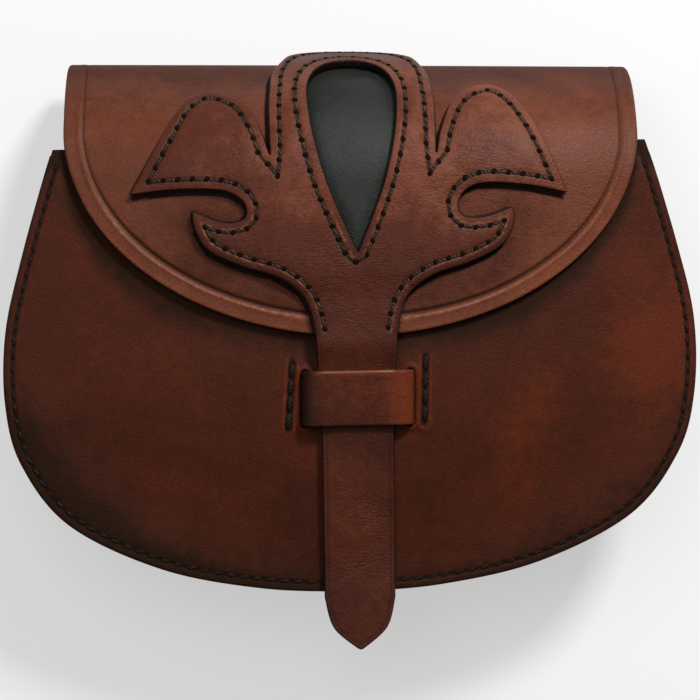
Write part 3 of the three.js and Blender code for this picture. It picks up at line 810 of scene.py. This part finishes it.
def window_half(y, margin=0.0):
    """Half width of the drop-shaped window, or of the same shape grown by a margin."""
    up = (y - WINDOW_WIDEST) / (WINDOW_TOP + margin - WINDOW_WIDEST)
    down = np.clip((y - WINDOW_TIP + margin) / (WINDOW_WIDEST - WINDOW_TIP + margin), 0, 1)
    round_top = np.sqrt(np.maximum(0, 1 - up ** 2))
    return (WINDOW_HALF + margin) * np.where(y >= WINDOW_WIDEST, round_top, np.sin(down * math.pi / 2))


def window_outline(margin=0.0):
    """Outline of the window, its leather on the left of the line."""
    low, high = WINDOW_TIP - margin, WINDOW_TOP + margin
    heights = low + (high - low) * (1 - np.cos(np.linspace(0, math.pi, 110))) / 2
    half = window_half(heights, margin)
    middle = WINDOW_X - WINDOW_LEAN * ramp(heights, WINDOW_TIP, WINDOW_TOP)
    right = np.column_stack([middle + half, heights])
    left = np.column_stack([middle - half, heights])[1:-1]
    return turned(np.vstack([right, left[::-1]]))


ornament_outline = mirrored(ornament_half(*WINGS["right"]), ornament_half(*WINGS["left"]))
ornament_outline = evened(ease_corners(turned(ornament_outline), 0.7), 0.85)
window = evened(window_outline(), 0.85)[::-1]
ornament_loops = [ornament_outline, window]

# ---- Flap, turned over the top and down the back ------------------------------------------------------

BACK_SEAM_TOP = back_line(MOUTH_Y - 4)
# close lines that shape the crease and its lip
CREASE_RINGS = [4.6, 4.9, 5.2, 5.5, 5.8, 6.1, 6.4, 6.7, 7.0, 7.3, 7.7, 8.5]

round_edge = np.linspace(0, math.pi / 2, 140)
flap_right = np.column_stack([FLAP_HALF * np.sin(round_edge), FLAP_WIDEST - FLAP_DROP * np.cos(round_edge)])
back_right = np.column_stack([BODY[:, 0], back_line(BODY[:, 1])])
flap_waist = [[FLAP_HALF, back_line(MOUTH_Y + 8)]]
flap_outline = evened(mirrored(np.vstack([flap_right, flap_waist, back_right])), 1.3)


def hide_lie(x, along):
    """Unevenness that the flap and what is sewn to it share."""
    calm = 1 - soft_ramp(along, 95, 120)
    return (waves(x, along, 38, 5.0) * 0.22 + waves(x, along, 14, 1.5) * 0.07) * calm


def crease_at(x):
    """The crease keeps nearer the flap's edge at the right."""
    return CREASE - 0.6 * soft_ramp(x, -10, 50)


def flap_relief(x, along, depth):
    on_front = 1 - soft_ramp(along, CREST_AT - 12, CREST_AT)
    high = soft_ramp(along, 30, 70)
    free = 0.06 + 0.39 * soft_ramp(np.abs(x), 17, 25)      # the lip lies flat under the ornament
    crease = (-0.65 * ridge(depth, crease_at(x), 0.6 - 0.2 * high)
              + free * ridge(depth, crease_at(x) - 1.7, 0.75))
    crease *= 1 - 0.45 * high
    seam = -0.35 * ridge(depth, BODY_SEAM_IN, 0.8) * (along > BACK_SEAM_TOP)
    return hide_lie(x, along) * soft_ramp(depth, 1, 12) + crease * on_front + seam


# painted shade in the back seam's groove and the crease, and the painted shadow beside the ornament
def flap_groove_painted_shade(x, along, depth):
    on_front = 1 - soft_ramp(along, CREST_AT - 12, CREST_AT)
    seam = ridge(depth, BODY_SEAM_IN, 0.55) * (along > back_line(MOUTH_Y - 6)) * 0.8
    crease = ridge(depth, crease_at(x) + 0.1, 0.72 - 0.35 * soft_ramp(along, 30, 70)) * on_front
    crease *= 0.95 - 0.4 * soft_ramp(along, 10, 65)
    return np.maximum(np.maximum(crease, seam), painted_shadow_beside(x, along))


def flap_painted_light(x, along, depth):
    """Painted light and shade: lighter on the right, painted highlights on the crease's lip and along the
    rim, painted shade towards the crest and a painted shadow where the ornament's lobes lie, darker along the
    lower rim.
    """
    shade = 0.1 + 0.06 * soft_ramp(x, 0, 90) - 0.78 * soft_ramp(along, 70, 124)
    # painted highlight on the crease's lip and along the rim
    lip = (ridge(depth, crease_at(x) - 1.75, 0.7) * (1 - soft_ramp(along, 40, 64))
           * (1 - 0.3 * soft_ramp(x, 40, 66)))
    lip += 0.45 * ridge(depth, 0.9, 0.8) * (1 - soft_ramp(along, 30, 60))
    shade += (0.8 + 0.25 * waves(x, along, 1.6, 7.0)) * lip
    # painted shadow where the ornament's lobes lie
    shade -= (0.44 * (1 - soft_ramp(np.abs(x), 50, 78)) * (1 - soft_ramp(along, 40, 62))
              * soft_ramp(depth, 6, 9))
    return shade - 0.12 * (1 - soft_ramp(depth, 2, CREASE)) * (1 - soft_ramp(along, 10, 30))


def on_flap(x, along, height):
    return hung(above(under_flap, x, along, height + FLAP_CLEAR), BACK_Z + FLAP + GAP)


# close points for the painted shadow beside the ornament
under_ornament = beside(ornament_outline[ornament_outline[:, 1] > 4],
                        [0.3, -0.38, -0.8, -1.2, -1.8, -2.1, -2.9])


def painted_shadow_beside(x, along):
    """Painted shadow on the flap: a thin line round the ornament, darker on its left sides, and a wide band
    below its lower edges and left of the arch.
    """
    places = np.column_stack([x, along])
    near = edge_distance(places, [ornament_outline])
    wide = inside(places + (0.6, 1.9), [ornament_outline]) & (near < 2.0) & (x < 71) & (x > -74)
    wide |= inside(places + (1.6, 0), [ornament_outline]) & (np.abs(x + 29) < 3.5) & (along > 68)
    thin = np.where(inside(places + (1.0, -0.3), [ornament_outline]), 0.9 * (near < 0.9),
                    0.6 * (near < 0.45))
    return ~inside(places, [ornament_outline]) * np.maximum(wide * 1.0, thin)


flap = leather_piece("flap_and_back_leather", [flap_outline], FLAP,
                     EDGE_RINGS + seam_rings(BODY_SEAM_IN) + CREASE_RINGS, 2.4, on_flap, flap_relief,
                     [flap_leather, flesh_side], flap_groove_painted_shade, flap_painted_light, rounding=1.2,
                     close=under_ornament)
join_bag(flap, "flap_leather", "back_and_flap")

edge_seam("back_seam", flap_outline, lambda along: along > BACK_SEAM_TOP, back_line(POUCH_MIDDLE), 1,
          on_flap, FLAP - 0.3)

# ---- Ornament that runs down into the tongue ----------------------------------------------------------

def ornament_base(x, along):
    """How high the ornament's underside runs above the route of the flap."""
    on = soft_ramp(along, -8, 3.5)
    pad = (1 - soft_ramp(np.abs(x), 20.6, 36 - 10 * soft_ramp(along, 58, 68))) * soft_ramp(along, 16, 28)
    return GAP + on * FLAP_TOP + pad * (INLAY + GAP)


outer_line = ring(ornament_outline, SEAM_IN, ornament_loops)
outer_line = np.roll(outer_line, -int(np.argmin(outer_line[:, 1])), 0)
outer_line = outer_line[outer_line[:, 1] > ORNAMENT_SEAM_LOW]
for side in (-1, 1):            # the seam comes to a point below each notch
    notch, point = turned([(side * NOTCH[0], NOTCH[1]), (side * 25.2, 58.4)])
    bend = np.hypot(*(outer_line - notch).T) < SEAM_IN + 0.35
    middle = np.flatnonzero(bend)[0]
    outer_line = np.insert(outer_line[~bend], middle, point, axis=0)
outer_line = evened(outer_line, 1.0, closed=False)
sewn_window = window - (0.55, 0)      # the window's seam lies a little to the left of it
window_line = ring(sewn_window, SEAM_IN + 0.2, [ornament_outline, sewn_window])
window_line = np.roll(window_line, -int(np.argmin(window_line[:, 1])), 0)
window_line = np.vstack([window_line, window_line[:1]])
notch_stretches = outer_line[(outer_line[:, 1] > 56) & (np.abs(np.abs(outer_line[:, 0]) - 26.5) < 5)
                             & (outer_line[:, 1] < 70)]


def seam_share(along):
    """Where the ornament is sewn down: all but the tongue."""
    return soft_ramp(along, 3, 6)


def from_seam(x, along):
    """How far a place of the ornament lies from its seams."""
    there_and_back = np.vstack([outer_line, outer_line[-2:0:-1]])
    return edge_distance(np.column_stack([x, along]), [there_and_back, window_line[:-1]])


def lobe_share(along):
    """The lobes, whose seams are pulled tight."""
    return (1 - soft_ramp(along, 42, 50)) * seam_share(along)


def puckers(x, along):
    """Small unevenness of the lips beside tight stitches."""
    return waves(x, along, 1.5, 4.0)


def ornament_relief(x, along, depth):
    groove = -0.4 * ridge(from_seam(x, along), 0, 0.6)
    lip = 0.16 + 0.14 * lobe_share(along) * (0.3 + puckers(x, along))
    groove += lip * ridge(depth, 2.3, 0.5) * seam_share(along)
    tongue = 1 - soft_ramp(along, -10, 10)
    crown = (0.2 * soft_ramp(depth, 1.5, 7) - 0.18 * ridge(depth, 1.5, 0.3)) * tongue
    return (hide_lie(x, along) * soft_ramp(along, -10, 10) + groove + crown
            + waves(x, along, 20, 9.0) * 0.1 * tongue)


# painted shade in the seams' grooves and the tongue's edge crease
def ornament_groove_painted_shade(x, along, depth):
    sewn = ridge(from_seam(x, along), 0, 0.55) * 0.5
    return np.maximum(sewn, 0.5 * ridge(depth, 1.5, 0.3) * (1 - soft_ramp(along, -10, 10)))


def ornament_tone_and_painted_light(x, along, depth):
    """Painted light and shade: lighter over the shoulder, on the right wing and below the window, darker on
    the wings' outer parts, down the lobes and the tongue and towards the crest, with painted highlights on
    the lobes' seam lips and painted shade where their edges roll off; warm patches on the tongue.
    """
    shade = (-0.2 + 0.45 * soft_ramp(along, 26, 50)
             + 0.05 * np.clip(x / 30, -1, 1) * soft_ramp(along, 30, 50))
    wings = soft_ramp(np.abs(x), 30, 38) * soft_ramp(along, 48, 56)
    shade -= (0.13 - 0.06 * np.clip(x / 50, -1, 1)) * wings + 0.7 * soft_ramp(along, 92, 126)
    shade += 0.14 * spot(x, along, (62, 68), (12, 14)) + 0.14 * spot(x, along, (2, 22), (14, 10))
    shade += (0.5 * spot(x, along, (-5, -54), (14, 16)) - 0.1 * ridge(along, -31, 7)
              + 0.16 * spot(x, along, (6, -68), (9, 16)))
    shade -= (0.08 * spot(x, along, (24, 76), (6, 14)) + 0.16 * (1 - soft_ramp(along, -30, 6))
              - 0.06 * (1 - soft_ramp(along, -98, -70)))
    # painted highlights on the lobes' seam lips, painted shade where their edges roll off
    painted_highlight = np.clip(0.5 + 1.1 * puckers(x, along), 0, 1.2) * ridge(depth, 2.5, 0.28)
    return shade + (painted_highlight - 0.3 * (1 - soft_ramp(depth, 0.9, 2.0))) * lobe_share(along)


def on_ornament(x, along, height):
    return above(under_flap, x, along, ornament_base(x, along) + height)


def sewn_on_ornament(x, along, height):
    return on_ornament(x, along, height + hide_lie(x, along))


by_seams = np.vstack([beside(notch_stretches, [0, -0.4, 0.4, -0.9, 0.9]),
                      beside(window_line[window_line[:, 0] < 2], [0, -0.4, 0.4])])
ornament = leather_piece("ornament_and_tongue_leather", ornament_loops, ORNAMENT,
                         EDGE_RINGS + seam_rings(SEAM_IN), 1.7, on_ornament, ornament_relief,
                         [ornament_leather, flesh_side], ornament_groove_painted_shade, ornament_tone_and_painted_light, rounding=0.8,
                         close=by_seams)
join_bag(ornament, "ornament_leather", "ornament_and_tongue")

saddle_seam("ornament_seams", [outer_line, window_line], PITCH, sewn_on_ornament, ORNAMENT - 0.2,
            brown_thread, "ornament_leather", width=1.25, awl=AWL)

# ---- Window inlay -------------------------------------------------------------------------------------

INLAY_RINGS = [0.3, 0.8, 5.0, 5.5, 6.0, 6.6, 7.5]     # close lines at its edge and the window's
inlay_loop = evened(window_outline(INLAY_MARGIN), 1.2)


def in_window(x, along):
    """How far a place lies inside the window's edge."""
    places = np.column_stack([x, along])
    return edge_distance(places, [window]) * inside(places, [window[::-1]])


def inlay_relief(x, along, depth):
    within = in_window(x, along)
    crown = 0.7 * (1 - 0.9 * soft_ramp(along, 84, 98))
    return crown * (1 - np.exp(-within / 2.2)) + waves(x, along, 9, 2.0) * 0.12 * ramp(within, 0, 4)


def inlay_painted_light(x, along, depth):
    """Painted light and shade: a painted sheen lightest in its middle, painted shade towards the tip and the
    top and in the window's edge.
    """
    shade = 0.2 * soft_ramp(along, 40, 66) + 0.15 * soft_ramp(x, -8, 6) - 0.6 * soft_ramp(along, 68, 94)
    shade -= 0.7 * (1 - soft_ramp(in_window(x, along), 0.8, 3.2)) * soft_ramp(along, 90, 99)
    return shade - 0.4 * (1 - soft_ramp(in_window(x, along), 0, 5)) - 0.1 - 0.5 * soft_ramp(along, 97, 104)


def on_inlay(x, along, height):
    return above(under_flap, x, along, FLAP_TOP + GAP + height)


inlay = leather_piece("window_inlay_leather", [inlay_loop], INLAY, INLAY_RINGS, 1.4, on_inlay, inlay_relief,
                      [black_leather], tone_and_painted_light=inlay_painted_light, rounding=0.3)
join_bag(inlay, "black_leather", "window_inlay")

# ---- Sections bent from strip: gusset, keeper and belt loops ------------------------------------------

def bent_line(corners, steps=8):
    """A line through (x, y, radius) corners, each rounded by an arc."""
    line = [np.array(corners[0][:2], float)]
    for before, corner, after in zip(corners, corners[1:], corners[2:]):
        at = np.array(corner[:2], float)
        back, on = (np.array(other[:2], float) - at for other in (before, after))
        back, on = back / np.hypot(*back), on / np.hypot(*on)
        half = math.acos(float(np.clip(back @ on, -1, 1))) / 2
        start, end = at + back * corner[2] / math.tan(half), at + on * corner[2] / math.tan(half)
        centre = at + (back + on) / np.hypot(*(back + on)) * corner[2] / math.sin(half)
        first = math.atan2(*(start - centre)[::-1])
        sweep = (math.atan2(*(end - centre)[::-1]) - first + math.pi) % (2 * math.pi) - math.pi
        for t in np.linspace(0, 1, steps + 1):
            angle = first + t * sweep
            line.append(centre + corner[2] * np.array([math.cos(angle), math.sin(angle)]))
    line.append(np.array(corners[-1][:2], float))
    return np.array(line)


def strip_piece(name, rows, thickness, rounding, finish):
    """A strip of leather from rows of places in millimetres: its wall, rounded edges and finish."""
    rows = np.asarray(rows, float)
    count, wide = rows.shape[:2]
    places = hung(rows.reshape(-1, 3))
    faces = [(i * wide + k, i * wide + k + 1, (i + 1) * wide + k + 1, (i + 1) * wide + k)
             for i in range(count - 1) for k in range(wide - 1)]
    piece = new_piece(name, (places + (0, BAG_SHIFT, 0)) * MM, faces)
    bpy.ops.object.modifier_add(type="SOLIDIFY")
    wall = piece.modifiers[-1]
    wall.thickness, wall.offset, wall.use_even_offset = thickness * MM, 0, True
    bpy.ops.object.modifier_apply(modifier=wall.name)
    bpy.ops.object.modifier_add(type="BEVEL")
    bevel = piece.modifiers[-1]
    bevel.width, bevel.segments = rounding * MM, 3
    bevel.limit_method, bevel.angle_limit = "ANGLE", math.radians(60)
    bpy.ops.object.modifier_apply(modifier=bevel.name)
    turn_outwards()
    bpy.ops.object.shade_smooth_by_angle(angle=math.radians(50))
    piece.data.materials.append(finish)
    return piece


def mark_edges(piece, from_edge, tone_and_painted_light=None):
    """The distance from the cut edges, and the colour and painted light and shade, from each vertex's place
    in millimetres.
    """
    places = np.empty(len(piece.data.vertices) * 3)
    piece.data.vertices.foreach_get("co", places)
    x, y, z = (places.reshape(-1, 3) / MM - (0, BAG_SHIFT, 0)).T
    y = y - slope(x, y)
    mark(piece, "edge", from_edge(x, y, z))
    mark(piece, "tone_and_painted_light", tone_and_painted_light(x, y, z) if tone_and_painted_light else np.zeros(len(x)))


low_edge, high_edge = BACK_Z + FLAP + GAP + 1, SEAM_Z - PANEL - GAP - 1
section = bent_line([(-GUSSET_OUT, low_edge), (GUSSET_IN, low_edge, GUSSET_BEND),
                     (GUSSET_IN, high_edge, GUSSET_BEND), (-GUSSET_OUT, high_edge)], 5)
wall_steps = np.linspace(section[6], section[7], 10)[1:-1]
section = np.vstack([section[:7], wall_steps, section[7:]])
stations = BODY[3::2]
tangents = np.gradient(BODY, axis=0)[3::2]
inward = np.column_stack([tangents[:, 1], -tangents[:, 0]])
inward /= np.hypot(*inward.T)[:, None]
inward[-1] = (0, 1)


def gusset_row(at, side):
    """The gusset's section at a place of the pouch's outline, its front following the panel back."""
    fall = SEAM_Z - fall_back(at[1] + 1, SEAM_Z)
    return [(at[0] + side[0] * s, at[1] + side[1] * s, z - fall * ramp(z, BACK_Z + 5, SEAM_Z - 5))
            for s, z in section]


right_rows = [gusset_row(at, side) for at, side in zip(stations, inward)]
left_rows = [[(-x, y, z) for x, y, z in row] for row in right_rows[:-1]][::-1]
corner_row = gusset_row(np.array(right_corner) - (0.1, 1.2), inward[0])
gusset = strip_piece("gusset_leather", [corner_row, *right_rows, *left_rows], GUSSET, 0.4, body_leather)
mark_edges(gusset, lambda x, y, z: np.full(len(x), 3.0))      # no edge of it is burnished
join_bag(gusset, "body_leather", "gusset")


def from_keeper_edge(x, y, z):
    """The distance from the keeper's edges. The upper one counts 1 mm farther, so only the lower edge is
    dark: burnish and painted shade below the keeper.
    """
    return KEEPER_WIDTH / 2 - np.abs(y - KEEPER_AT[1]) + (y > KEEPER_AT[1])


def keeper_painted_light(x, y, z):
    """Painted light and shade: warm and lit at the right, painted shade at the left, a painted highlight
    along the upper edge.
    """
    # painted highlight along the upper edge
    painted_highlight = 0.9 * ridge(y, KEEPER_AT[1] + KEEPER_WIDTH / 2 - 0.5, 0.5)
    return (0.05 + 0.4 * soft_ramp(x, 6, 19) - 0.65 * (1 - soft_ramp(x, -18, -9))
            + painted_highlight * soft_ramp(x, -14, -10) * (1 - soft_ramp(x, 12, 16)))


over_z = GAP + ORNAMENT + KEEPER_SLACK + KEEPER / 2
under_z = -PANEL - GAP - KEEPER / 2
half_band = [(SLIT_X, over_z, 3.4), (SLIT_X, under_z, 1.8), (KEEPER_END, under_z)]
band = bent_line([(-x, *rest) for x, *rest in half_band[::-1]] + half_band)
band = evened(band, 1.5, closed=False)
band_rows = []
for t in np.linspace(KEEPER_WIDTH / 2, -KEEPER_WIDTH / 2, 17):
    y = KEEPER_AT[1] + t
    band_rows.append([(KEEPER_AT[0] + x, y, SEAM_Z + float(dome(KEEPER_AT[0] + x, y)) + z)
                      for x, z in band])
keeper = strip_piece("keeper_leather", band_rows, KEEPER, 0.8, keeper_leather)
mark_edges(keeper, from_keeper_edge, keeper_painted_light)
join_bag(keeper, "keeper_leather", "keeper")

for side, sign in (("left", -1), ("right", 1)):
    tab_z = BACK_Z - GAP - LOOP / 2
    line = bent_line([(LOOP_LOW, tab_z), (-23, tab_z, 5), (-15, LOOP / 2, 5), (45, LOOP / 2, 5),
                      (53, tab_z, 5), (LOOP_HIGH, tab_z)])
    line = evened(line, 3.0, closed=False)
    rows = [[(sign * LOOP_X + t, y, z) for y, z in line] for t in np.linspace(-LOOP_HALF, LOOP_HALF, 13)]
    loop = strip_piece(f"belt_loop_{side}_leather", rows, LOOP, 0.6, body_leather)
    mark_edges(loop, lambda x, y, z: np.minimum(LOOP_HALF - np.abs(x - sign * LOOP_X),
                                                np.minimum(y - LOOP_LOW, LOOP_HIGH - y)))
    join_bag(loop, "body_leather", f"belt_loop_{side}")
    left, right = sign * LOOP_X - TAB_SEAM_HALF, sign * LOOP_X + TAB_SEAM_HALF
    tabs = [np.array([(left, inner), (left, outer), (right, outer), (right, inner)])
            for inner, outer in ((-25.0, -32.5), (55.0, 62.5))]
    saddle_seam(f"belt_loop_{side}_stitches", [evened(tab, 1.0, closed=False) for tab in tabs], TAB_PITCH,
                lambda x, y, height: hung(np.stack([x, y, BACK_Z - GAP - LOOP - height], axis=1)), -0.1,
                black_thread, "body_leather", width=1.2, share=0.75)

saddle_seam("keeper_stitches", keeper_lines, KEEPER_PITCH, on_panel, PANEL + 0.25, black_thread,
            "body_leather", width=2.1, share=1.12)

# ---- Floor, light and camera --------------------------------------------------------------------------

bpy.ops.object.select_all(action="DESELECT")
bpy.ops.mesh.primitive_plane_add(size=6, location=(0, 0, 0))
floor = bpy.context.object
floor.name = "floor"
floor_finish, _, floor_shader = new_finish("pale floor")
floor_shader.inputs["Base Color"].default_value = (0.55, 0.55, 0.55, 1)
floor_shader.inputs["Roughness"].default_value = 0.8
floor_shader.inputs["Emission Color"].default_value = (1, 1, 1, 1)
floor_shader.inputs["Emission Strength"].default_value = 0.5
floor.data.materials.append(floor_finish)


def soft_light(name, place, aim, width, height, power, colour=(1, 1, 1)):
    bpy.ops.object.light_add(type="AREA", location=place)
    lamp = bpy.context.object
    lamp.name = name
    lamp.data.shape, lamp.data.size, lamp.data.size_y = "RECTANGLE", width, height
    lamp.data.energy, lamp.data.color = power, colour
    lamp.rotation_euler = (Vector(aim) - Vector(place)).to_track_quat("-Z", "Y").to_euler()


soft_light("key light", (0.54, 0.92, 1.08), (0, 0, 0.05), 0.28, 0.28, 15)
soft_light("fill light", (-0.35, 0.45, 1.35), (0, 0, 0.05), 1.0, 0.8, 4.5)

world = bpy.data.worlds.new("studio")
bpy.context.scene.world = world
world.use_nodes = True
world.node_tree.nodes["Background"].inputs["Color"].default_value = (1, 1, 1, 1)
world.node_tree.nodes["Background"].inputs["Strength"].default_value = 0.14
bpy.context.scene.view_settings.view_transform = "Standard"

distance, side_view = 1.0, math.radians(2)
view_width, sensor_width = 0.238, 36
bpy.ops.object.camera_add(location=(-distance * math.sin(side_view) - 0.5 * MM, BAG_SHIFT * MM,
                                    SEAM_Z * MM + distance * math.cos(side_view)),
                          rotation=(0, -side_view, 0))
camera = bpy.context.object
camera.data.sensor_width = sensor_width
camera.data.lens = sensor_width * distance / view_width
camera.data.clip_start = 0.01
bpy.context.scene.camera = camera
